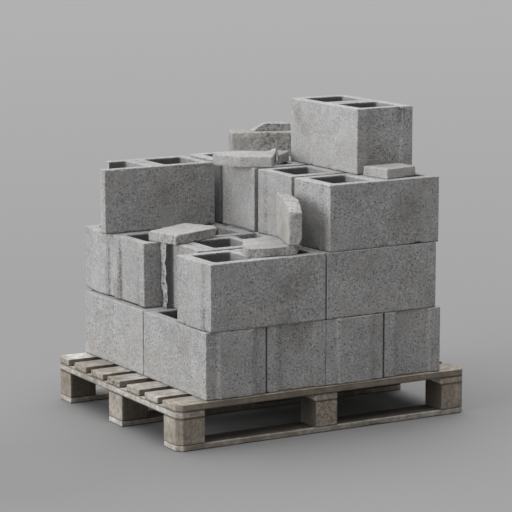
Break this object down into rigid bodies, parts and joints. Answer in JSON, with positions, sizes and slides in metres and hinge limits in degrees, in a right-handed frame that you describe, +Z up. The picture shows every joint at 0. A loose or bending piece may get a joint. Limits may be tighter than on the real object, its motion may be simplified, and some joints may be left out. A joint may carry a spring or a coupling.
{
  "type": "pallet of concrete blocks",
  "caption": "Part-used load of hollow concrete building blocks stacked in crossed courses on a wooden four-way pallet, with broken blocks and loose pieces on top.",
  "frame": {"origin": "the middle of the pallet's footprint on the ground, on the underside of the middle runner", "axes": "+X runs along the pallet's length and its deck boards, +Y from the front of the load to its back, +Z up"},
  "size_m": [1, 0.864, 0.937],
  "materials": {
    "concrete": "rough open-textured pressed concrete, light grey, pitted, with faint brown stains",
    "pallet_wood": "rough sawn softwood, weathered grey-brown and dusty"
  },
  "bodies": {
    "root": {"course1_back_1": "concrete", "course1_back_2": "concrete", "course1_back_3": "concrete", "course1_back_4": "concrete", "course1_front_1": "concrete", "course1_front_2": "concrete", "course1_front_3": "concrete", "course1_front_4": "concrete", "course2_back_left": "concrete", "course2_back_right": "concrete", "course2_front_left": "concrete", "course2_front_right": "concrete", "course2_second_left_half": "concrete", "course2_second_right": "concrete", "course2_third_left": "concrete", "course2_third_right": "concrete", "course3_back_left_broken": "concrete", "course3_back_right": "concrete", "course3_front": "concrete", "course3_second": "concrete", "course3_third": "concrete", "course4_top": "concrete", "deck_board_1": "pallet_wood", "deck_board_2": "pallet_wood", "deck_board_3": "pallet_wood", "deck_board_4": "pallet_wood", "deck_board_5": "pallet_wood", "deck_board_6": "pallet_wood", "deck_board_7": "pallet_wood", "foot_back_left": "pallet_wood", "foot_back_middle": "pallet_wood", "foot_back_right": "pallet_wood", "foot_front_left": "pallet_wood", "foot_front_middle": "pallet_wood", "foot_front_right": "pallet_wood", "foot_middle_left": "pallet_wood", "foot_middle_middle": "pallet_wood", "foot_middle_right": "pallet_wood", "piece_curved_on_rough": "concrete", "piece_flat_front": "concrete", "piece_flat_on_half_block": "concrete", "piece_on_block_by_top": "concrete", "piece_rough_back": "concrete", "piece_slab_on_third": "concrete", "piece_upright": "concrete", "piece_wedge": "concrete", "runner_back": "pallet_wood", "runner_front": "pallet_wood", "runner_middle": "pallet_wood", "stringer_left": "pallet_wood", "stringer_middle": "pallet_wood", "stringer_right": "pallet_wood"}
  },
  "joints": []
}
